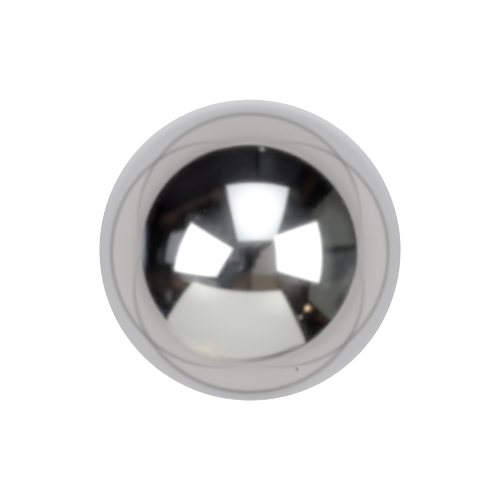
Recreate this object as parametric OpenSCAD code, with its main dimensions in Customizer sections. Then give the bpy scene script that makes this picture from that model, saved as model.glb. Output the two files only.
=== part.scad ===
// Steel ball: one solid sphere of hardened chrome steel, ground and lapped to a mirror,
// of the kind used loose in detents, check valves, quick-change chucks and small bearings.
// All sizes are in millimetres. The origin is the centre of the ball, and +Z points up.

/* [Ball] */
// Diameter over the finished surface: a quarter of an inch, the commonest loose size
ball_d = 6.35; // [1:0.05:100]

/* [Hidden] */

// Colour of the lapped steel
steel_colour = [0.77, 0.775, 0.785];

// Facets round the equator when the ball is drawn as a mesh. The solid is a true sphere.
facets = 180;

// One turned, ground and lapped piece, solid to its centre, with no flat, seam or bore.
module ball() {
    color(steel_colour)
        sphere(d = ball_d, $fn = facets);
}

ball();
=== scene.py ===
"""Looks of a polished steel ball that lies on a white sheet under three softboxes.

The ball is one mirror-bright piece that stands for the CAD node "ball". A mirror shows what stands
round it, so most of this script is the studio set: the white sheet below, three softboxes and a
white card above, and the dark room behind them. Lengths are in metres and angles in degrees. The
origin is the centre of the ball, +Z points up, and the camera's top edge is towards +Y.
"""

import logging
import math
from dataclasses import dataclass
from enum import Enum
from functools import cache

import bmesh
import bpy
from mathutils import Matrix, Vector


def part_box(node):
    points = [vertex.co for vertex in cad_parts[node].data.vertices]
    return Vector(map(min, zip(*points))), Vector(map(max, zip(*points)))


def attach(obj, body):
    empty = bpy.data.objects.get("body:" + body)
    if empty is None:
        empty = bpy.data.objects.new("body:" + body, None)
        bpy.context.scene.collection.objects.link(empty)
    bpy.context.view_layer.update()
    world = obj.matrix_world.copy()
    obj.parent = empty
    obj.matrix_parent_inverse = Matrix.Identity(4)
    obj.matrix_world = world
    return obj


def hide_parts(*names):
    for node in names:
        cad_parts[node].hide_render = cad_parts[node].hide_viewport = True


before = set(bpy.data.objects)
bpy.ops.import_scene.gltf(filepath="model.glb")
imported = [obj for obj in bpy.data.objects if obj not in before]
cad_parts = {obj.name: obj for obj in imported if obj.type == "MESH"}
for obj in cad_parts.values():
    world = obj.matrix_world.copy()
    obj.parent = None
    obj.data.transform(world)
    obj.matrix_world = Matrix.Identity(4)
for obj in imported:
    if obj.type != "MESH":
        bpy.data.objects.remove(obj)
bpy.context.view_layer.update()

log = logging.getLogger("steel_ball")

Object = bpy.types.Object
Material = bpy.types.Material
NodeTree = bpy.types.NodeTree
Socket = bpy.types.NodeSocket
Triple = tuple[float, float, float]
Colour = Triple
Pair = tuple[float, float]
Place = Pair

BALL_NODE = "ball"
ROOT_BODY = "root"
LENS_TILT = 2.6
ORIGIN: Triple = (0.0, 0.0, 0.0)


# ---- Helpers ----


class Sight(Enum):
    """Which light paths meet a thing on the set."""

    LAMP = "lights the table and shows in the ball"
    SCENERY = "shows in the ball only"
    TABLE = "seen by every path"


class Edge(Enum):
    """How the light of a panel ends at its edges."""

    SHARP = "straight edges"
    SOFT = "straight edges that fade out"
    ROUND = "an oval that fades out"


def rgba(colour: Colour) -> tuple[float, float, float, float]:
    """Returns the colour with full alpha."""
    return (*colour, 1.0)


def turn(axis: str, degrees: float) -> Matrix:
    """Returns a rotation matrix about one of the axes X, Y or Z."""
    return Matrix.Rotation(math.radians(degrees), 4, axis)


def towards(across: float, up: float) -> Vector:
    """Gives the unit vector from the ball towards a place in the room, as the lens sees it.

    Args:
        across: Degrees to the right of the lens axis.
        up: Degrees above the lens axis, towards the camera's top edge.

    Returns:
        The unit vector.
    """
    away = math.radians(math.hypot(across, up))
    aside = Vector((across, up, 0.0)).normalized() * math.sin(away)
    return turn("X", -LENS_TILT) @ Vector((aside.x, aside.y, math.cos(away)))


def object_from(mesh_shape: bmesh.types.BMesh, name: str) -> Object:
    """Writes a bmesh into a new object that is linked to the scene.

    Args:
        mesh_shape: The finished shape, which is freed.
        name: Name of the object and of its mesh.

    Returns:
        The new object, at the origin.
    """
    mesh = bpy.data.meshes.new(name)
    mesh_shape.to_mesh(mesh)
    mesh_shape.free()
    made = bpy.data.objects.new(name, mesh)
    bpy.context.scene.collection.objects.link(made)
    return made


def set_sight(thing: Object, sight: Sight) -> None:
    """Limits the light paths that meet a thing of the set.

    Args:
        thing: The lamp, card, wall or table.
        sight: Which paths meet it.
    """
    thing.visible_camera = sight is Sight.TABLE
    thing.visible_diffuse = sight is not Sight.SCENERY
    thing.visible_shadow = sight is Sight.TABLE
    thing.visible_transmission = sight is not Sight.SCENERY


class Nodes:
    """A short way to write a node tree: it adds nodes, sets their inputs and links them."""

    COLUMN_WIDTH = 180

    def __init__(self, tree: NodeTree) -> None:
        """Empties the tree and keeps it.

        Args:
            tree: The node tree of a material, world or group.
        """
        self.tree = tree
        tree.nodes.clear()
        self.column = 0

    def add(self, kind: str, inputs: dict | None = None, **settings: object) -> bpy.types.Node:
        """Adds one node.

        Args:
            kind: The node's type without the ShaderNode prefix, or a full type name.
            inputs: Value or socket for each input, by the input's name or number.
            **settings: Properties of the node itself.

        Returns:
            The new node.
        """
        prefix = "" if kind.startswith("NodeGroup") else "ShaderNode"
        node = self.tree.nodes.new(prefix + kind)
        node.location = (self.column, 0)
        self.column += self.COLUMN_WIDTH
        for key, value in settings.items():
            setattr(node, key, value)
        for key, value in (inputs or {}).items():
            self.feed(node.inputs[key], value)
        return node

    def feed(self, socket: Socket, value: object) -> None:
        """Links a socket to another node's output, or sets it to a plain value.

        Args:
            socket: The input socket.
            value: The output socket or the value that it gets.
        """
        if isinstance(value, Socket):
            self.tree.links.new(value, socket)
        else:
            socket.default_value = value

    def math(self, operation: str, *values: object, clamp: bool = False) -> Socket:
        """Adds a Math node.

        Args:
            operation: The operation's name, such as MULTIPLY.
            *values: One to three numbers or sockets.
            clamp: Whether the result is kept from 0 to 1.

        Returns:
            The result's socket.
        """
        node = self.add("Math", dict(enumerate(values)), operation=operation, use_clamp=clamp)
        return node.outputs[0]

    def vector(self, operation: str, *values: object) -> bpy.types.Node:
        """Adds a Vector Math node with one to three inputs and returns the node."""
        return self.add("VectorMath", dict(enumerate(values)), operation=operation)

    def scaled(self, vector: Socket, factor: object) -> Socket:
        """Adds a node that scales a vector by a number or socket, and returns the result."""
        return self.add("VectorMath", {0: vector, "Scale": factor}, operation="SCALE").outputs[0]

    def smooth(self, value: object, low: object, high: object,
               start: float = 0.0, end: float = 1.0) -> Socket:
        """Adds a smooth step.

        Args:
            value: The number or socket that drives the step.
            low: Number or socket at which the step begins.
            high: Number or socket at which the step ends.
            start: Result at or below the low value.
            end: Result at or above the high value.

        Returns:
            The result's socket.
        """
        node = self.add("MapRange", interpolation_type="SMOOTHSTEP")
        for number, given in enumerate((value, low, high, start, end)):
            self.feed(node.inputs[number], given)
        return node.outputs[0]

    def mix(self, factor: object, first: object, second: object) -> Socket:
        """Adds a colour mix.

        Args:
            factor: 0 gives the first colour and 1 the second.
            first: Colour or socket.
            second: Colour or socket.

        Returns:
            The result's socket.
        """
        node = self.add("Mix", data_type="RGBA")
        self.feed(node.inputs["Factor"], factor)
        self.feed(node.inputs[6], first)
        self.feed(node.inputs[7], second)
        return node.outputs[2]

    def group(self, tree: NodeTree, **inputs: object) -> bpy.types.NodeOutputs:
        """Places a node group.

        Args:
            tree: The group.
            **inputs: Value or socket for each input, by its name with _ for a space.

        Returns:
            The outputs of the group's node.
        """
        node = self.add("Group")
        node.node_tree = tree
        for key, value in inputs.items():
            self.feed(node.inputs[key.replace("_", " ")], value)
        return node.outputs


def new_group(name: str, inputs: dict[str, float | Triple], *outputs: str) -> Nodes:
    """Starts a shader node group with named sockets.

    Args:
        name: The group's name.
        inputs: The default of each input, which is a vector where it has three numbers.
        *outputs: The name of each output, all of which are numbers.

    Returns:
        A writer on the empty group.
    """
    tree = bpy.data.node_groups.new(name, "ShaderNodeTree")
    for label, default in inputs.items():
        kind = "NodeSocketVector" if isinstance(default, tuple) else "NodeSocketFloat"
        socket = tree.interface.new_socket(label, in_out="INPUT", socket_type=kind)
        socket.default_value = default
    for label in outputs:
        tree.interface.new_socket(label, in_out="OUTPUT", socket_type="NodeSocketFloat")
    return Nodes(tree)


# ---- Shader node groups, each of which is built once ----


@cache
def pool_group() -> NodeTree:
    """Builds the group "Pool": 1 round a centre, falling smoothly to a lower level at its reach.

    Returns:
        The group. Core is the share of the reach that stays whole, and the output is Level.
    """
    made = new_group(
        "Pool",
        {"Point": ORIGIN, "Centre": ORIGIN, "Reach": 1.0, "Core": 0.0, "Edge Level": 0.0},
        "Level",
    )
    given = made.add("NodeGroupInput").outputs
    apart = made.vector("DISTANCE", given["Point"], given["Centre"]).outputs["Value"]
    share = made.math("DIVIDE", apart, given["Reach"])
    fallen = made.smooth(share, given["Core"], 1.0, 1.0, 0.0)
    lift = made.math("SUBTRACT", 1.0, given["Edge Level"])
    level = made.math("MULTIPLY_ADD", fallen, lift, given["Edge Level"])
    made.add("NodeGroupOutput", {"Level": level})
    return made.tree


@cache
def feather_group() -> NodeTree:
    """Builds the group "Feather": 1 inside a panel, fading to 0 at its four edges.

    Returns:
        The group. Point runs from 0 to 1 across the panel, and the output is Mask.
    """
    made = new_group("Feather", {"Point": ORIGIN, "Softness": 0.3}, "Mask")
    given = made.add("NodeGroupInput").outputs
    place = made.add("SeparateXYZ", {"Vector": given["Point"]}).outputs
    masks = []
    for axis in ("X", "Y"):
        to_edge = made.math("MINIMUM", place[axis], made.math("SUBTRACT", 1.0, place[axis]))
        masks.append(made.smooth(to_edge, 0.0, given["Softness"]))
    made.add("NodeGroupOutput", {"Mask": made.math("MULTIPLY", *masks)})
    return made.tree


@cache
def crease_group() -> NodeTree:
    """Builds the group "Crease": a soft straight line across a flat sheet.

    Returns:
        The group. Mask is 1 on the line, and Side is the signed distance from it.
    """
    made = new_group(
        "Crease",
        {"Point": ORIGIN, "Across": (1.0, 0.0, 0.0), "Offset": 0.0, "Half Width": 0.001},
        "Mask", "Side",
    )
    given = made.add("NodeGroupInput").outputs
    along = made.vector("DOT_PRODUCT", given["Point"], given["Across"]).outputs["Value"]
    side = made.math("SUBTRACT", along, given["Offset"])
    away = made.math("DIVIDE", made.math("ABSOLUTE", side), given["Half Width"])
    mask = made.smooth(away, 0.0, 1.0, 1.0, 0.0)
    made.add("NodeGroupOutput", {"Mask": mask, "Side": side})
    return made.tree


@cache
def mottle_group() -> NodeTree:
    """Builds the group "Mottle": soft irregular patches, lighter and darker than 1.

    Returns:
        The group. Amount is how far the level strays from 1, and the output is Level.
    """
    made = new_group("Mottle", {"Point": ORIGIN, "Scale": 1.0, "Amount": 0.5}, "Level")
    middle, spread = 0.5, 4.0
    given = made.add("NodeGroupInput").outputs
    noise = made.add("TexNoise", {"Vector": given["Point"], "Scale": given["Scale"],
                                  "Detail": 2.0, "Roughness": 0.55})
    stray = made.math("MULTIPLY", made.math("SUBTRACT", noise.outputs["Fac"], middle), spread)
    level = made.math("MULTIPLY_ADD", stray, given["Amount"], 1.0)
    made.add("NodeGroupOutput", {"Level": made.math("MAXIMUM", level, 0.0)})
    return made.tree


@cache
def hairline_group() -> NodeTree:
    """Builds the group "Hairlines": fine scratches that run one way across a surface.

    Returns:
        The group. Mask is 1 in a scratch, and the point is scaled before it comes in.
    """
    made = new_group(
        "Hairlines",
        {"Point": ORIGIN, "Turn": ORIGIN, "Stretch": (1.0, 1.0, 1.0), "Coverage": 0.1},
        "Mask",
    )
    highest, sharpness = 0.62, 9.0
    given = made.add("NodeGroupInput").outputs
    turned = made.add("VectorRotate", {"Vector": given["Point"], "Rotation": given["Turn"]},
                      rotation_type="EULER_XYZ")
    drawn = made.vector("MULTIPLY", turned.outputs[0], given["Stretch"]).outputs["Vector"]
    noise = made.add("TexNoise", {"Vector": drawn, "Scale": 1.0, "Detail": 2.0, "Roughness": 0.6})
    level = made.math("SUBTRACT", highest, given["Coverage"])
    above = made.math("SUBTRACT", noise.outputs["Fac"], level)
    mask = made.math("MULTIPLY", above, sharpness, clamp=True)
    made.add("NodeGroupOutput", {"Mask": mask})
    return made.tree


@cache
def speck_group() -> NodeTree:
    """Builds the group "Specks": small round grains scattered at random over a surface.

    Returns:
        The group. Mask is 1 on a grain, and Share is the part of the cells that hold one.
    """
    made = new_group("Specks", {"Point": ORIGIN, "Spacing": 0.001, "Size": 0.2, "Share": 0.1}, "Mask")
    smallest, whole_share = 0.4, 0.6
    given = made.add("NodeGroupInput").outputs
    scale = made.math("DIVIDE", 1.0, given["Spacing"])
    cells = made.add("TexVoronoi", {"Vector": given["Point"], "Scale": scale})
    pick = made.add("SeparateColor", {"Color": cells.outputs["Color"]}).outputs
    held = made.math("LESS_THAN", pick["Red"], given["Share"])
    radius = made.math("MULTIPLY", given["Size"], made.math("ADD", pick["Green"], smallest))
    away = made.math("DIVIDE", cells.outputs["Distance"], radius)
    spot = made.smooth(away, whole_share, 1.0, 1.0, 0.0)
    made.add("NodeGroupOutput", {"Mask": made.math("MULTIPLY", spot, held)})
    return made.tree


@dataclass(frozen=True)
class Pool:
    """The sizes of one pool: a round area that is 1 at its centre and fades to a lower level."""

    reach: float = 1.0
    core: float = 0.0
    edge_level: float = 0.0
    centre: Triple | Vector = ORIGIN

    def level(self, nodes: Nodes, point: Socket) -> Socket:
        """Adds the pool to a node tree and returns the socket of its level at the point."""
        return nodes.group(pool_group(), Point=point, Centre=self.centre, Reach=self.reach,
                           Core=self.core, Edge_Level=self.edge_level)["Level"]


# ---- The ball ----


@dataclass(frozen=True)
class Nick:
    """A shallow oval nick in the ball's surface, with the faint residue that it holds."""

    facing: Vector = towards(21.2, -53.7)
    half_length: float = 0.00017
    half_width: float = 0.00006
    depth: float = 0.000004
    steepness: float = 2.0

    def frame(self) -> Matrix:
        """Returns the axes of the nick as columns: along it, across it and outwards."""
        across = Vector((0, 0, 1)).cross(self.facing).normalized()
        return Matrix((across.cross(self.facing), across, self.facing)).transposed()

    def sink(self, point: Vector, ball_radius: float) -> float:
        """Says how far the surface is pressed in at a point of the sphere.

        Args:
            point: A point on the sphere.
            ball_radius: The sphere's radius.

        Returns:
            The depth below the sphere, in metres.
        """
        place = self.frame().transposed() @ (point - self.facing * ball_radius)
        away = math.hypot(place.x / self.half_length, place.y / self.half_width)
        on_far_side = place.z < -ball_radius
        return 0.0 if on_far_side else self.depth * math.exp(-self.steepness * away * away)


@dataclass(frozen=True)
class PolishedSteel:
    """Hardened chrome steel, ground and lapped until it shows a clear mirror image."""

    reflectance: Colour = (0.56, 0.565, 0.572)
    edge_tint: Colour = (0.80, 0.80, 0.81)
    mirror_roughness: float = 0.097
    scratch_roughness: float = 0.04
    scratch_coverage: float = 0.05
    scratch_turns: tuple[Triple, ...] = ((0.3, 0.9, 0.2), (1.4, 0.2, 2.1), (2.2, 1.7, 0.7))
    scratch_stretch: Triple = (0.06, 3.0, 3.0)
    scratch_depth: float = 0.000004
    bump_strength: float = 0.02
    grain_spacing: float = 0.00011
    stain_scale: float = 420.0
    stain_range: Pair = (0.35, 0.75)
    stain_darkening: float = 0.975
    stain_roughness: float = 0.012
    residue: Colour = (0.09, 0.085, 0.08)
    residue_cover: float = 0.4
    residue_roughness: float = 0.5
    dust: Colour = (0.62, 0.62, 0.63)
    dust_facing: Vector = towards(-17, 12)
    dust_reach: float = 0.0007
    dust_elsewhere: float = 0.01
    dust_spacing: float = 0.00012
    dust_size: float = 0.2
    dust_share: float = 0.35
    dust_cover: float = 0.1
    dust_roughness: float = 0.7
    dust_dulling: float = 0.8
    mote_facing: Vector = towards(-20.5, 12.5)
    mote_reach: float = 0.00007
    mote_core: float = 0.3
    mote_cover: float = 0.16

    def material(self, nick: Nick, ball_radius: float) -> Material:
        """Builds the procedural material.

        Args:
            nick: The nick, whose floor is darker.
            ball_radius: The ball's radius in metres.

        Returns:
            The material.
        """
        made = bpy.data.materials.new("polished_steel")
        made.use_nodes = True
        nodes = Nodes(made.node_tree)
        point = nodes.add("TexCoord").outputs["Object"]

        lapping = self._lapping_marks(nodes, point)
        dust = self._dust(nodes, point, ball_radius)
        in_nick = nodes.add("Mapping", {
            "Vector": point,
            "Location": nick.facing * ball_radius,
            "Rotation": nick.frame().to_euler(),
            "Scale": (nick.half_length, nick.half_width, nick.half_length),
        }, vector_type="TEXTURE").outputs[0]
        hole = Pool().level(nodes, in_nick)
        dirt = nodes.math("MULTIPLY", hole, self.residue_cover)

        cloud = nodes.add("TexNoise", {"Vector": point, "Scale": self.stain_scale, "Detail": 2.0})
        stain = nodes.smooth(cloud.outputs["Fac"], *self.stain_range)
        darker = tuple(self.stain_darkening * part for part in self.reflectance)
        colour = nodes.mix(stain, rgba(self.reflectance), rgba(darker))
        colour = nodes.mix(dust, colour, rgba(self.dust))
        colour = nodes.mix(dirt, colour, rgba(self.residue))

        scuff = nodes.math("MULTIPLY", lapping, self.scratch_roughness)
        smear = nodes.math("MULTIPLY", stain, self.stain_roughness)
        rough = nodes.math("ADD", nodes.math("ADD", scuff, smear), self.mirror_roughness)
        dusty = nodes.math("MULTIPLY", dust, self.dust_roughness)
        dirty = nodes.math("MULTIPLY", dirt, self.residue_roughness)
        rough = nodes.math("MAXIMUM", nodes.math("MAXIMUM", rough, dusty), dirty, clamp=True)

        bump = nodes.add("Bump", {
            "Strength": self.bump_strength,
            "Distance": self.scratch_depth,
            "Height": lapping,
        }, invert=True)
        surface = nodes.add("BsdfPrincipled", {
            "Base Color": colour,
            "Roughness": rough,
            "Metallic": nodes.math("MULTIPLY_ADD", dust, -self.dust_dulling, 1.0),
            "Normal": bump.outputs["Normal"],
            "Specular Tint": rgba(self.edge_tint),
        })
        nodes.add("OutputMaterial", {"Surface": surface.outputs[0]})
        return made

    def _lapping_marks(self, nodes: Nodes, point: Socket) -> Socket:
        """Adds three sets of crossing hairlines.

        Args:
            nodes: The steel's node tree.
            point: The point on the ball, in metres.

        Returns:
            The socket of their joint mask.
        """
        fine = nodes.scaled(point, 1.0 / self.grain_spacing)
        mask = 0.0
        for turned in self.scratch_turns:
            lines = nodes.group(hairline_group(), Point=fine, Turn=turned,
                                Stretch=self.scratch_stretch, Coverage=self.scratch_coverage)
            mask = nodes.math("MAXIMUM", mask, lines["Mask"])
        return mask

    def _dust(self, nodes: Nodes, point: Socket, ball_radius: float) -> Socket:
        """Adds one mote and a thin scatter of dust that is densest in one patch.

        Args:
            nodes: The steel's node tree.
            point: The point on the ball, in metres.
            ball_radius: The ball's radius in metres.

        Returns:
            The socket of the dust's mask.
        """
        patch = Pool(self.dust_reach, edge_level=self.dust_elsewhere,
                     centre=self.dust_facing * ball_radius).level(nodes, point)
        share = nodes.math("MULTIPLY", patch, self.dust_share)
        grains = nodes.group(speck_group(), Point=point, Spacing=self.dust_spacing,
                             Size=self.dust_size, Share=share)
        scatter = nodes.math("MULTIPLY", grains["Mask"], self.dust_cover)
        mote = Pool(self.mote_reach, self.mote_core,
                    centre=self.mote_facing * ball_radius).level(nodes, point)
        return nodes.math("MAXIMUM", scatter, nodes.math("MULTIPLY", mote, self.mote_cover))


@dataclass
class SteelBall:
    """The ball itself: one smooth closed sphere with a tiny nick."""

    radius: float
    finish: PolishedSteel
    nick: Nick
    cells_a_side: int = 127

    def build_mesh(self) -> bmesh.types.BMesh:
        """Blows a finely divided cube up into a sphere of even cells, and presses the nick in.

        Returns:
            The closed shape, with smooth faces.
        """
        shape = bmesh.new()
        bmesh.ops.create_cube(shape, size=2.0)
        bmesh.ops.subdivide_edges(shape, edges=shape.edges[:], cuts=self.cells_a_side - 1,
                                  use_grid_fill=True)
        for vertex in shape.verts:
            outwards = Vector([math.tan(c * math.pi / 4) for c in vertex.co]).normalized()
            on_ball = outwards * self.radius
            vertex.co = on_ball - outwards * self.nick.sink(on_ball, self.radius)
        bmesh.ops.recalc_face_normals(shape, faces=shape.faces[:])
        for face in shape.faces:
            face.smooth = True
        return shape

    def add(self) -> Object:
        """Adds the ball in place of its CAD node.

        Returns:
            The ball's object.
        """
        made = object_from(self.build_mesh(), "polished_ball")
        made.data.materials.append(self.finish.material(self.nick, self.radius))
        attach(made, ROOT_BODY)
        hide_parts(BALL_NODE)
        faces = len(made.data.polygons)
        log.info("%s: radius %.3f mm, %d faces", made.name, self.radius * 1000, faces)
        return made


# ---- The studio set ----


NEUTRAL: Colour = (1.0, 1.0, 1.0)
WARM_WHITE: Colour = (1.0, 0.99, 0.935)
COOL_WHITE: Colour = (0.98, 0.995, 1.0)
COOL: Colour = (0.93, 0.94, 1.0)
ICE: Colour = (0.74, 0.85, 1.0)
NIGHT: Colour = (0.57, 0.64, 1.0)
WARM: Colour = (1.0, 0.88, 0.79)
BROWN: Colour = (1.0, 0.78, 0.65)
RUST: Colour = (1.0, 0.66, 0.56)
AMBER: Colour = (1.0, 0.72, 0.45)


@dataclass(frozen=True)
class Glow:
    """The finish of a lamp, card or wall: the light it gives, and how that light ends. On the card, the
    walls and the other things that are no lamp, this glow is painted light, and its brightest place is a
    painted pool of light.
    """

    colour: Colour
    strength: float
    edge: Edge = Edge.SHARP
    softness: float = 0.3
    sheer: bool = False
    brightest: Place = (0.5, 0.5)
    reach: float = 1.0
    core: float = 0.0
    edge_level: float = 1.0
    mottle: float = 0.0
    mottle_scale: float = 5.0

    def material(self, name: str, sight: Sight) -> Material:
        """Builds the material.

        Args:
            name: The material's name.
            sight: Which light paths meet the thing; what only shows in the ball isn't sampled.

        Returns:
            The material.
        """
        made = bpy.data.materials.new(name)
        made.use_nodes = True
        if sight is Sight.SCENERY:
            made.cycles.emission_sampling = "NONE"
        nodes = Nodes(made.node_tree)
        point = nodes.add("TexCoord").outputs["UV"]
        level = Pool(self.reach, self.core, self.edge_level,
                     (*self.brightest, 0.0)).level(nodes, point)
        if self.mottle:
            place = nodes.add("TexCoord").outputs["Object"]
            patches = nodes.group(mottle_group(), Point=place, Scale=self.mottle_scale,
                                  Amount=self.mottle)
            level = nodes.math("MULTIPLY", level, patches["Level"])
        shine = nodes.math("MULTIPLY", level, self.strength)
        mask = self._mask(nodes, point)
        if self.sheer:
            shine = nodes.math("MULTIPLY", shine, mask)
        light = nodes.add("Emission", {"Color": rgba(self.colour), "Strength": shine})
        clear = nodes.add("BsdfTransparent")
        if self.sheer:
            seen = nodes.add("AddShader", {0: clear.outputs[0], 1: light.outputs[0]})
        else:
            seen = nodes.add("MixShader", {0: mask, 1: clear.outputs[0], 2: light.outputs[0]})
        nodes.add("OutputMaterial", {"Surface": seen.outputs[0]})
        return made

    def _mask(self, nodes: Nodes, point: Socket) -> Socket | float:
        """Adds the mask of the glow's outline, which is 1 where the glow is whole.

        Args:
            nodes: The material's node tree.
            point: The point on the panel, which runs from 0 to 1 along each side.

        Returns:
            The mask's socket, or 1 for sharp edges.
        """
        if self.edge is Edge.SHARP:
            return 1.0
        if self.edge is Edge.SOFT:
            return nodes.group(feather_group(), Point=point, Softness=self.softness)["Mask"]
        oval = Pool(reach=0.5, core=1.0 - self.softness, centre=(0.5, 0.5, 0.0))
        return oval.level(nodes, point)


def solid(colour: Colour, strength: float, softness: float = 0.3) -> Glow:
    """Returns a glow with soft straight edges that hides what stands behind it."""
    return Glow(colour, strength, Edge.SOFT, softness, mottle=0.3)


def veil(colour: Colour, strength: float, softness: float = 0.5) -> Glow:
    """Returns a glow with soft straight edges that adds to what stands behind it."""
    return Glow(colour, strength, Edge.SOFT, softness, sheer=True, mottle=0.4)


def haze(colour: Colour, strength: float) -> Glow:
    """Returns an oval glow that adds to what stands behind it and fades out to its rim."""
    return Glow(colour, strength, Edge.ROUND, 1.0, sheer=True, mottle=0.4)


def gleam(colour: Colour, strength: float, brightest: Place, reach: float) -> Glow:
    """Returns a glow that adds to what stands behind it and fades out from its brightest place."""
    return Glow(colour, strength, sheer=True, brightest=brightest, reach=reach, edge_level=0.0)


@dataclass(frozen=True)
class Patch:
    """A panel of the set, given by the places of its corners as the ball sees them.

    A place is a pair of angles: degrees to the right of the lens axis and degrees above it. A
    plain patch is flat, with straight sides, and a bent one curves round the ball.
    """

    name: str
    corners: tuple[Place, Place, Place, Place]
    glow: Glow
    sight: Sight = Sight.SCENERY
    bent: bool = False
    cells: int = 8

    @classmethod
    def strip(cls, name: str, start: Place, end: Place, widths: Pair, glow: Glow,
              bent: bool = False) -> "Patch":
        """Makes a long narrow patch, such as a pole, a beam or an arm.

        Args:
            name: Name of the patch.
            start: Place of the middle of its first end.
            end: Place of the middle of its last end.
            widths: Its width at the start and at the end, in degrees.
            glow: Its finish.
            bent: Whether it curves round the ball.

        Returns:
            The patch.
        """
        along = (Vector(end) - Vector(start)).normalized()
        across = Vector((-along.y, along.x))
        corners = []
        for middle, width, side in ((start, widths[0], 1), (end, widths[1], 1),
                                    (end, widths[1], -1), (start, widths[0], -1)):
            corners.append(tuple(Vector(middle) + across * side * width / 2))
        return cls(name, tuple(corners), glow, bent=bent)

    @classmethod
    def oval(cls, name: str, middle: Place, radii: Pair, glow: Glow) -> "Patch":
        """Makes a bent patch round a place.

        Args:
            name: Name of the patch.
            middle: Place of its middle.
            radii: Its half width and half height in degrees.
            glow: Its finish, which is a round one.

        Returns:
            The patch.
        """
        (x, y), (wide, high) = middle, radii
        corners = ((x - wide, y + high), (x + wide, y + high),
                   (x + wide, y - high), (x - wide, y - high))
        return cls(name, corners, glow, bent=True)

    def _direction(self, across: float, up: float) -> Vector:
        """Gives the direction of a point of the patch.

        Args:
            across: The point's share of the way from the left side to the right.
            up: The point's share of the way from the lower side to the upper.

        Returns:
            The direction, which is shorter than a unit inside a flat patch.
        """
        ends = [Vector(place) if self.bent else towards(*place) for place in self.corners]
        high, low = ends[0].lerp(ends[1], across), ends[3].lerp(ends[2], across)
        point = low.lerp(high, up)
        return towards(*point) if self.bent else point

    def add(self, distance: float) -> Object:
        """Adds the patch to the set.

        Args:
            distance: Metres from the ball's centre to each corner.

        Returns:
            The patch's object.
        """
        half = 0.5
        shape = bmesh.new()
        shape.loops.layers.uv.new("UVMap")
        bmesh.ops.create_grid(shape, x_segments=self.cells, y_segments=self.cells, size=half,
                              calc_uvs=True)
        for vertex in shape.verts:
            vertex.co = self._direction(vertex.co.x + half, vertex.co.y + half) * distance
        made = object_from(shape, self.name)
        made.data.materials.append(self.glow.material(self.name, self.sight))
        set_sight(made, self.sight)
        return made


@dataclass(frozen=True)
class Seam:
    """A soft crease in the white sheet, drawn as a line of painted shade and given in ball radii, and how
    light it is beyond it.
    """

    across: Pair
    offset: float
    skew: float
    beyond: float

    def normal(self) -> Vector:
        """Returns the unit vector across the crease, turned by its skew."""
        return turn("Z", self.skew) @ Vector((*self.across, 0.0))


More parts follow.
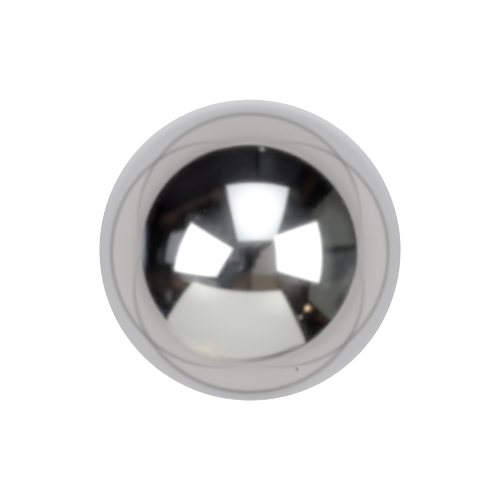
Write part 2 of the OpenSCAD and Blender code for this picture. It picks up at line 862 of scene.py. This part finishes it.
@dataclass(frozen=True)
class WhiteSheet:
    """The plain white sheet that the ball lies on, and its finish. Its lengths are ball radii.

    The painted distance shade dims it with distance, the seam area is where its creases show as painted
    shade, the front is a painted pool of light just beyond the ball on its +Y side, the shade and the
    contact are painted soft shadows, and the dark is a painted contact shadow under the ball, where no
    extra light gets.
    """

    ball_radius: float
    half_side: float = 200.0
    near_edge: float = 43.0
    near_edge_bearing: float = 150.0
    inner: Colour = (0.990, 0.979, 0.986)
    outer: Colour = (0.995, 0.964, 0.924)
    roughness: float = 0.45
    # Painted shade: the mirrored sheet darkens with distance from the ball.
    painted_distance_shade: Pool = Pool(reach=16.0, core=0.1, edge_level=0.82)
    crease_shade_loss: float = 0.375
    # Painted shade along the creases: how much darker the mirrored sheet is on them.
    seam_half_width: float = 0.4
    seam_step: float = 0.3
    seam_most: float = 1.3
    seam_area: Pool = Pool(reach=12.0, edge_level=0.5)
    # Painted light: a pool that lightens the mirrored sheet just beyond the ball on its +Y side.
    front: Pool = Pool(reach=2.2, core=0.5)
    painted_front_light: float = 0.38
    # Painted shadows in the mirrored sheet: a shade below the ball towards -Y, and the ball's contact
    # shadow.
    shade: Pool = Pool(reach=0.9, centre=(0.0, -1.75, 0.0))
    shade_loss: float = 0.10
    contact: Pool = Pool(reach=1.55, core=0.7)
    contact_shadow_loss: float = 0.27
    glossy_lift: float = 0.72
    camera_lift: float = 0.53
    # Painted contact shadow: under the ball, most of the camera's extra white is taken away.
    dark: Pool = Pool(reach=0.95)
    painted_shadow_depth: float = 0.85
    seams: tuple[Seam, ...] = (
        Seam((-1, 0), 2.42, 4.5, 0.99),
        Seam((1, 0), 2.47, -4.4, 1.01),
        Seam((0, 1), 2.53, 1.0, 0.94),
        Seam((0, -1), 2.17, -2.0, 0.98),
    )

    def material(self) -> Material:
        """Builds the sheet's material.

        The camera sees plain white that keeps the ball's shadow from the lamps, with a painted contact
        shadow under the ball.
        The ball also mirrors four soft creases round it, drawn as painted shade, and the cooler square
        between them.

        Returns:
            The material.
        """
        made = bpy.data.materials.new("white_sheet")
        made.use_nodes = True
        nodes = Nodes(made.node_tree)
        point = nodes.add("TexCoord").outputs["Object"]
        path = nodes.add("LightPath").outputs
        radii = nodes.scaled(point, 1.0 / self.ball_radius)
        mirrored = self._mirrored_colour(nodes, radii)
        colour = nodes.mix(path["Is Glossy Ray"], rgba(self.outer), mirrored)

        sheet = nodes.add("BsdfPrincipled", {"Base Color": colour, "Roughness": self.roughness})
        glossy = nodes.math("MULTIPLY", path["Is Glossy Ray"], self.glossy_lift)
        even = nodes.add("Emission", {"Color": mirrored})
        seen = nodes.add("MixShader", {0: glossy, 1: sheet.outputs[0], 2: even.outputs[0]})
        direct = nodes.math("MAXIMUM", path["Is Camera Ray"], path["Is Transmission Ray"])
        # Painted contact shadow: less extra white for the camera under the ball.
        under = self.dark.level(nodes, radii)
        unshadowed_share = nodes.math("MULTIPLY_ADD", under, -self.painted_shadow_depth, 1.0)
        lift = nodes.math("MULTIPLY", nodes.math("MULTIPLY", direct, self.camera_lift), unshadowed_share)
        plain = nodes.add("Emission", {"Color": rgba(NEUTRAL), "Strength": lift})
        both = nodes.add("AddShader", {0: seen.outputs[0], 1: plain.outputs[0]})
        nodes.add("OutputMaterial", {"Surface": both.outputs[0]})
        return made

    def _mirrored_colour(self, nodes: Nodes, radii: Socket) -> Socket:
        """Adds the creased colour that the ball mirrors, with painted shade, painted light and painted
        shadows in it.

        Args:
            nodes: The sheet's node tree.
            radii: The point on the sheet, in ball radii.

        Returns:
            The colour's socket.
        """
        # Painted shade that dims the mirrored sheet with distance.
        gain = self.painted_distance_shade.level(nodes, radii)
        lines, inside = 0.0, 1.0
        for seam in self.seams:
            crease = nodes.group(crease_group(), Point=radii, Across=seam.normal(),
                                 Offset=seam.offset, Half_Width=self.seam_half_width)
            side = nodes.smooth(crease["Side"], -self.seam_step, self.seam_step)
            lines = nodes.math("ADD", lines, crease["Mask"])
            inside = nodes.math("MULTIPLY", inside, nodes.math("SUBTRACT", 1.0, side))
            beyond = nodes.math("MULTIPLY_ADD", side, seam.beyond - 1.0, 1.0)
            gain = nodes.math("MULTIPLY", gain, beyond)
        # Painted shade along the creases.
        lines = nodes.math("MINIMUM", lines, self.seam_most)
        near = self.seam_area.level(nodes, radii)
        depth = nodes.math("MULTIPLY", nodes.math("MULTIPLY", lines, near), self.crease_shade_loss)
        gain = nodes.math("MULTIPLY", gain, nodes.math("SUBTRACT", 1.0, depth))
        # Painted pool of light on the +Y side, just beyond the ball.
        heading = nodes.vector("NORMALIZE", radii).outputs["Vector"]
        ahead = nodes.add("SeparateXYZ", {"Vector": heading}).outputs["Y"]
        close = self.front.level(nodes, radii)
        front = nodes.math("MULTIPLY", nodes.math("MAXIMUM", ahead, 0.0), close)
        # Painted shade below the ball and painted contact shadow.
        shade = self.shade.level(nodes, radii)
        contact = self.contact.level(nodes, radii)
        gain = nodes.math("MULTIPLY_ADD", front, self.painted_front_light, gain)
        gain = nodes.math("MULTIPLY_ADD", shade, -self.shade_loss, gain)
        gain = nodes.math("MULTIPLY_ADD", contact, -self.contact_shadow_loss, gain)
        white = nodes.mix(inside, rgba(self.outer), rgba(self.inner))
        return nodes.scaled(white, gain)

    def add(self) -> Object:
        """Lays the sheet under the ball, cut along its near edge.

        Returns:
            The sheet's object.
        """
        shape = bmesh.new()
        half_side = self.half_side * self.ball_radius
        bmesh.ops.create_grid(shape, x_segments=1, y_segments=1, size=half_side)
        facing = turn("Z", self.near_edge_bearing) @ Vector((1.0, 0.0, 0.0))
        everything = shape.verts[:] + shape.edges[:] + shape.faces[:]
        bmesh.ops.bisect_plane(shape, geom=everything, plane_no=facing, clear_outer=True,
                               plane_co=facing * self.near_edge * self.ball_radius)
        made = object_from(shape, "white_sheet")
        made.location.z = -self.ball_radius
        made.data.materials.append(self.material())
        set_sight(made, Sight.TABLE)
        log.info("white_sheet: %.2f m square", 2 * half_side)
        return made


@dataclass(frozen=True)
class Room:
    """The room round the set: plain white, behind dark walls that only the ball mirrors."""

    dark: Colour = (0.0008, 0.0008, 0.001)
    wall_distance: float = 5.0

    def add(self) -> None:
        """Gives the scene its world, and sets the dark walls in front of it."""
        world = bpy.data.worlds.new("room")
        world.use_nodes = True
        nodes = Nodes(world.node_tree)
        path = nodes.add("LightPath").outputs
        direct = nodes.math("MAXIMUM", path["Is Camera Ray"], path["Is Transmission Ray"])
        shown = nodes.math("MAXIMUM", direct, path["Is Glossy Ray"])
        colour = nodes.mix(shown, rgba(self.dark), rgba(NEUTRAL))
        ground = nodes.add("Background", {"Color": colour})
        nodes.add("OutputWorld", {"Surface": ground.outputs[0]})
        bpy.context.scene.world = world

        shape = bmesh.new()
        bmesh.ops.create_icosphere(shape, subdivisions=3, radius=self.wall_distance)
        bmesh.ops.reverse_faces(shape, faces=shape.faces[:])
        walls = object_from(shape, "dark_walls")
        finish = Glow(self.dark, 1.0)
        walls.data.materials.append(finish.material(walls.name, Sight.SCENERY))
        set_sight(walls, Sight.SCENERY)
        log.info("%s: %.1f m from the ball", walls.name, self.wall_distance)


@dataclass
class Studio:
    """Everything that stands round the ball.

    Each list runs from back to front, and each thing in it stands a little nearer than the one
    before it, so that it covers it.
    """

    ball_radius: float
    back: Pair = (3.0, 1.2)
    lamps: Pair = (1.1, 1.0)
    fold_radii: Pair = (40.0, 30.7)
    foot_radii: Pair = (12.6, 11.8)

    def softboxes(self) -> list[Patch]:
        """Lists the white card and the three softboxes, which light the table.

        Returns:
            The patches, from back to front.
        """
        side = Glow(NEUTRAL, 2.3)
        top = Glow(COOL_WHITE, 1.97, brightest=(0.5, 0.48), reach=0.9, core=0.2, edge_level=0.5)
        # Painted light: the white card glows as a lamp would, brightest near its top.
        card = Glow(WARM_WHITE, 1.12, brightest=(0.5, 0.8), edge_level=0.8)
        outline = ((-44, -24.6), (23.8, -31.1), (46.7, -78), (-72, -63))
        above = ((-18.5, 50.5), (30.5, 49.0), (19.1, 7.5), (-9.0, 6.6))
        left = ((-45.9, 21.3), (-12.8, 0.9), (-25.8, -20.5), (-60.3, -16.3))
        right = ((18.4, 10.4), (52.6, 22.6), (54.7, -26.0), (20.8, -16.0))
        lamp = Sight.LAMP
        return [
            Patch("white_card", outline, card, lamp),
            Patch("card_glow_left", outline, gleam(WARM_WHITE, 0.5, (0.1, 1.02), 0.43)),
            Patch("card_glow_right", outline, gleam(WARM_WHITE, 0.36, (1.0, 0.86), 0.4)),
            Patch("card_glow_low", outline, gleam((1.0, 0.93, 0.75), 0.11, (0.5, -0.1), 0.45)),
            Patch("softbox_top", above, top, lamp),
            Patch("softbox_left", left, side, lamp),
            Patch("softbox_right", right, side, lamp),
        ]

    def room_left(self) -> list[Patch]:
        """Lists the dim things on the left of the room.

        Returns:
            The patches, from back to front.
        """
        panel = Glow(COOL, 0.48, Edge.SOFT, 0.12, brightest=(1.0, 0.9), reach=1.2, edge_level=0.75)
        return [
            Patch.oval("ceiling", (-2, 68), (54, 28), haze(COOL, 0.031)),
            Patch.oval("ceiling_far", (-4, 89), (42, 14), haze(NEUTRAL, 0.019)),
            Patch.oval("ceiling_near", (5, 56), (38, 13), haze(COOL, 0.036)),
            Patch.oval("ceiling_left", (-50, 52), (38, 28), haze((1.0, 0.85, 1.0), 0.018)),
            Patch.oval("ceiling_right", (14, 71), (12, 15), haze(COOL, 0.036)),
            Patch.oval("ceiling_blue", (35, 63), (13, 14), haze(NIGHT, 0.014)),
            Patch.strip("beam", (-76, 22.5), (-16, 48.5), (11, 11), veil(RUST, 0.038), bent=True),
            Patch.oval("beam_end", (-25, 43), (9, 9), haze(BROWN, 0.048)),
            Patch.oval("bricks", (-60, 26), (9, 8), haze(RUST, 0.022)),
            Patch.oval("bricks_far", (-67, 24), (10, 8), haze(RUST, 0.03)),
            Patch.oval("stray_top_left", (-15, 9), (33, 33), haze(COOL, 0.255)),
            Patch.strip("stray_box_left", (-12, 4), (-52, 29), (16, 16), veil(COOL, 0.11)),
            Patch.strip("stray_box_top", (-12, 10), (-22, 52), (13, 13), veil(COOL, 0.075)),
            Patch.oval("stray_corner", (-43, 24), (11, 8), haze(NEUTRAL, 0.055)),
            Patch("grey_panel", ((-63, 14.5), (-50, 16), (-57.5, -13), (-69, -11)), panel),
            Patch("blue_panel", ((-76, 4), (-66, 5), (-68, -15), (-78, -14)),
                  veil((0.76, 0.8, 1.0), 0.05, 0.4)),
            Patch.strip("window", (-90.8, 33), (-91.7, -24), (11.6, 11.6),
                        Glow(ICE, 0.68, Edge.SOFT, 0.45, sheer=True, mottle=0.1), bent=True),
            Patch.oval("stray_low_left", (-55, -26), (12, 11), haze((1.0, 0.66, 0.5), 0.145)),
            Patch.oval("stray_low_left_wide", (-72, -26), (18, 15), haze(WARM, 0.03)),
            Patch.oval("small_light_glow", (-67, -38), (11, 11), haze(NEUTRAL, 0.03)),
            Patch.strip("small_light", (-64, -29), (-67.8, -46), (9.5, 8), veil(NEUTRAL, 0.15)),
            Patch.oval("blue_corner", (-74.5, -51.5), (6, 8), haze((0.36, 0.5, 1.0), 0.1)),
            Patch.strip("gap_left", (-57, -20), (-20, -26.3), (9, 7), veil(NEUTRAL, 0.42, 0.25)),
        ]

    def room_right(self) -> list[Patch]:
        """Lists the dim things on the right of the room.

        Returns:
            The patches, from back to front.
        """
        # Painted light: the wall glows brightest near one place and dimmer towards its edges, and the near
        # veil adds painted light over it.
        wall = Glow((0.98, 1.0, 0.88), 0.186, Edge.SOFT, 0.02, brightest=(0.3, 0.35), reach=0.6,
                    core=0.7, edge_level=0.4, mottle=0.09)
        near = Glow(COOL, 0.12, Edge.SOFT, 0.5, sheer=True, brightest=(0.25, 0.5), reach=0.85,
                    edge_level=0.0, mottle=0.2)
        spark = Glow(NEUTRAL, 0.6, Edge.ROUND, 0.7)
        lamp = Glow(AMBER, 2.8, Edge.ROUND, 1.0)
        lamp_small = Glow(BROWN, 0.75, Edge.ROUND, 1.0)
        return [
            Patch.strip("pole", (5.7, 93), (5.6, 57), (3.5, 3.3), solid(NEUTRAL, 0.001)),
            Patch.oval("spark", (10.2, 84), (2.8, 3.4), spark),
            Patch("wall", ((49, 31.2), (98, 80.2), (98, -89.3), (46, -39.5)), wall, bent=True),
            # Painted shadow: a darker sheet over the lower part of the wall.
            Patch("wall_painted_shadow", ((61, 7), (96, 7), (94, -28), (60, -28)),
                  solid((0.97, 0.98, 1.0), 0.118, 0.2), bent=True),
            Patch.strip("wall_line", (42, -2.2), (106, 3.8), (9.5, 8),
                        solid(COOL, 0.036, 0.38), bent=True),
            # A darker patch on the wall.
            Patch.strip("wall_stain", (80.5, -31), (70, -54), (13.5, 12), solid(NEUTRAL, 0.075, 0.5),
                        bent=True),
            Patch("wall_upper", ((50, 32), (68, 49), (69, 26), (52, 17)),
                  veil(NEUTRAL, 0.035, 0.3), bent=True),
            Patch.strip("wall_edge", (53, -30), (62, -51), (14, 12), veil(BROWN, 0.032), bent=True),
            Patch.oval("wall_corner", (49, 27), (8.5, 9), haze(WARM_WHITE, 0.045)),
            Patch.strip("wall_near", (51, 32), (53, -50), (20, 18), near),
            Patch.oval("wall_spot", (61, -28.5), (6, 4), haze(NEUTRAL, 0.11)),
            # Painted light: a warm light streak over the wall.
            Patch.strip("wall_streak", (74, -33), (91, -8), (14, 12), veil(WARM_WHITE, 0.15),
                        bent=True),
            Patch.oval("stray_top_right", (27, 18), (26, 26), haze(COOL, 0.19)),
            Patch.oval("stray_beside_top", (35, 44), (6, 10), haze(WARM_WHITE, 0.045)),
            Patch.oval("post_foot", (40, 40), (7, 6), haze(BROWN, 0.026)),
            Patch.strip("post_glow", (38, 38), (55, 64), (12, 13), veil((1.0, 0.64, 0.42), 0.02)),
            Patch.strip("band", (74, 66), (41, 32), (12, 5), solid(ICE, 0.001, 0.12), bent=True),
            Patch.strip("band_thin", (53, 76), (37, 54), (5, 5), solid(NEUTRAL, 0.0005), bent=True),
            Patch.oval("stray_low_right", (28, -22), (22, 20), haze(WARM, 0.225)),
            Patch.strip("gap_right", (16, -18.5), (51, -28), (7, 7), veil(NEUTRAL, 0.16)),
            Patch.oval("stray_by_card", (37.5, -38), (11, 14), haze((1.0, 0.7, 0.6), 0.032)),
            Patch.strip("table_glow", (46, -77.5), (70, -58.5), (5, 5), veil(NEUTRAL, 0.045)),
            Patch.strip("card_side", (40, -55), (49, -76), (6, 5), veil(WARM_WHITE, 0.045)),
            Patch.strip("lamp_glow", (50, -50), (67, -61), (9, 11), veil((1.0, 0.45, 0.28), 0.068)),
            Patch.oval("lamp_glow_near", (51, -48), (3, 2.5), haze((1.0, 0.45, 0.1), 0.03)),
            Patch.oval("lamp", (46.0, -46.6), (3.3, 3.3), lamp),
            Patch.oval("lamp_small", (40.5, -54), (2.8, 2.8), lamp_small),
        ]

    def overhead(self) -> list[Patch]:
        """Lists the camera, its arms and the plates between the softboxes, over the ball.

        Returns:
            The patches, from back to front.
        """
        bluish = (0.85, 0.94, 1.0)
        lit = Glow((1.0, 0.965, 0.935), 0.59, Edge.SOFT, 0.12, brightest=(0.95, 0.6), reach=0.95,
                   edge_level=0.6)
        shade = Glow((1.0, 0.79, 0.6), 0.265, Edge.SOFT, 0.15, brightest=(0.5, 0.8), edge_level=0.75)
        return [
            Patch("plate_left", ((-13, 9), (4, 9), (-3, -12), (-22, -12)), solid(COOL, 0.22, 0.25)),
            Patch("plate_top", ((-15, 12), (21, 12), (14, 4), (-12, 1)), solid(bluish, 0.38, 0.2)),
            Patch("plate_low", ((-16, -7), (-3, -9), (-12, -32), (-28, -27)),
                  solid(bluish, 0.145, 0.25)),
            Patch("shade_low", ((-13, -20), (0, -12), (0, -35), (-16, -35)), solid(BROWN, 0.118, 0.2)),
            Patch("plate_right", ((1, 9), (21, 9), (22, -21), (0, -21)), lit),
            Patch("shade_right", ((-1, -17), (22, -18), (24, -36), (-1, -36)), shade),
            Patch.strip("arm_far", (4, -1), (17, 6.5), (7, 4), solid(COOL, 0.14)),
            Patch.strip("arm_near", (-22, -30), (-4, -13), (6, 4), solid(COOL, 0.095)),
            Patch("camera_side", ((-10, 2.5), (-2, 2.5), (-2, -9), (-9, -9)), solid(COOL, 0.12, 0.35)),
            # Painted highlight: a light streak along the camera's knob.
            Patch.strip("knob", (-5, -9.5), (-8.3, -17.5), (4, 3.6), veil(COOL, 0.3)),
            Patch.strip("cable", (-0.4, -12), (-0.4, -34), (2.5, 2.5), solid(BROWN, 0.128)),
            Patch("camera_body", ((-7, 3.9), (10.8, 3.2), (9.6, -7.6), (-5, -8)), solid(COOL, 0.085, 0.3)),
            Patch("lens", ((-6.5, -1.5), (8.5, -1), (3.5, -16), (-3, -16)), solid(ICE, 0.02, 0.28)),
        ]

    def far_folds(self) -> list[Patch]:
        """Lists the raised folds along the far sides of the sheet, which glow as painted light.

        Returns:
            The patches, from back to front.
        """
        # Painted light: the lit faces of the folds.
        lit_fold = Glow((1.0, 0.965, 0.92), 0.86, Edge.SOFT, 0.2)
        return [
            Patch.strip("fold_right", (56.7, -72.6), (88.7, -15.6), (3, 3), lit_fold),
            Patch.strip("fold_back", (56.7, 67.6), (-33.0, 81.8), (3, 3), lit_fold),
        ]

    def at_card_foot(self) -> list[Patch]:
        """Lists the painted shadow at the foot of the card and the light lip of the card, low on the
        table.

        Returns:
            The patches, from back to front.
        """
        # Painted shadow: the dark strip where the card's lower edge meets the table.
        foot = Glow((1.0, 0.98, 0.92), 0.6, Edge.SOFT, 0.42, brightest=(1.0, 0.5), edge_level=0.32)
        lip = Glow((1.0, 0.945, 0.8), 1.16, Edge.SOFT, 0.5)
        lip_end = Glow((1.0, 0.89, 0.78), 1.1, Edge.SOFT, 0.5)
        return [
            Patch.strip("foot_glow_left", (-68, -60.5), (-24, -91), (13, 13), veil(WARM_WHITE, 0.19)),
            Patch.strip("foot_glow_front", (-26, -93), (42, -84), (9, 9), veil(WARM_WHITE, 0.1)),
            Patch.strip("card_foot", (46.4, -72.6), (-20, -88.9), (7.1, 6.6), foot),
            Patch("card_lip", ((-56, -71), (-20, -74), (-22, -91.5), (-54, -79)), lip),
            Patch("card_lip_end", ((-42, -79), (-19, -80), (-18, -92.5), (-39, -90)), lip_end),
            # Painted light: a warm glow on the card's lower part.
            Patch.oval("card_blush", (-35, -80), (16, 11), haze((1.0, 0.55, 0.15), 0.1)),
            # Painted light: a light streak across the card.
            Patch.strip("card_streak", (-72, -58.5), (-55, -72), (4, 3.5), veil(WARM_WHITE, 0.16)),
        ]

    def add(self) -> None:
        """Adds the sheet, the lamps, the card, the scenery and the room."""
        WhiteSheet(self.ball_radius).add()
        folds = tuple(radii * self.ball_radius for radii in self.fold_radii)
        foot = tuple(radii * self.ball_radius for radii in self.foot_radii)
        for things, (far, near) in (
            ([*self.room_left(), *self.room_right(), *self.overhead()], self.back),
            (self.softboxes(), self.lamps),
            (self.far_folds(), folds),
            (self.at_card_foot(), foot),
        ):
            for number, thing in enumerate(things):
                distance = far + (near - far) * number / (len(things) - 1)
                thing.add(distance)
                log.info("%s: %.2f m from the ball", thing.name, distance)
        Room().add()


@dataclass(frozen=True)
class OverheadCamera:
    """A long lens that looks almost straight down on the ball."""

    ball_radius: float
    distance_in_radii: float = 120.0
    frame_in_radii: float = 3.318
    sensor: float = 36.0
    clip_factor: float = 10.0

    def add(self) -> Object:
        """Adds the camera and makes it the scene's own.

        Returns:
            The camera's object.
        """
        lens = bpy.data.cameras.new("overhead")
        lens.sensor_width = self.sensor
        lens.lens = self.sensor * self.distance_in_radii / self.frame_in_radii
        distance = self.ball_radius * self.distance_in_radii
        lens.clip_start = distance / self.clip_factor
        lens.clip_end = distance * self.clip_factor
        made = bpy.data.objects.new("overhead", lens)
        bpy.context.scene.collection.objects.link(made)
        made.matrix_world = turn("X", -LENS_TILT) @ Matrix.Translation((0, 0, distance))
        bpy.context.scene.camera = made
        log.info("overhead: %.0f mm lens at %.0f mm", lens.lens, distance * 1000)
        return made


def main() -> None:
    """Builds the ball, the set and the camera, in that order."""
    logging.basicConfig(level=logging.INFO, format="%(name)s: %(message)s")
    low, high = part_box(BALL_NODE)
    radius = (high.z - low.z) / 2
    SteelBall(radius, PolishedSteel(), Nick()).add()
    Studio(radius).add()
    OverheadCamera(radius).add()
    bpy.context.scene.view_settings.view_transform = "Standard"


if __name__ == "__main__":
    main()
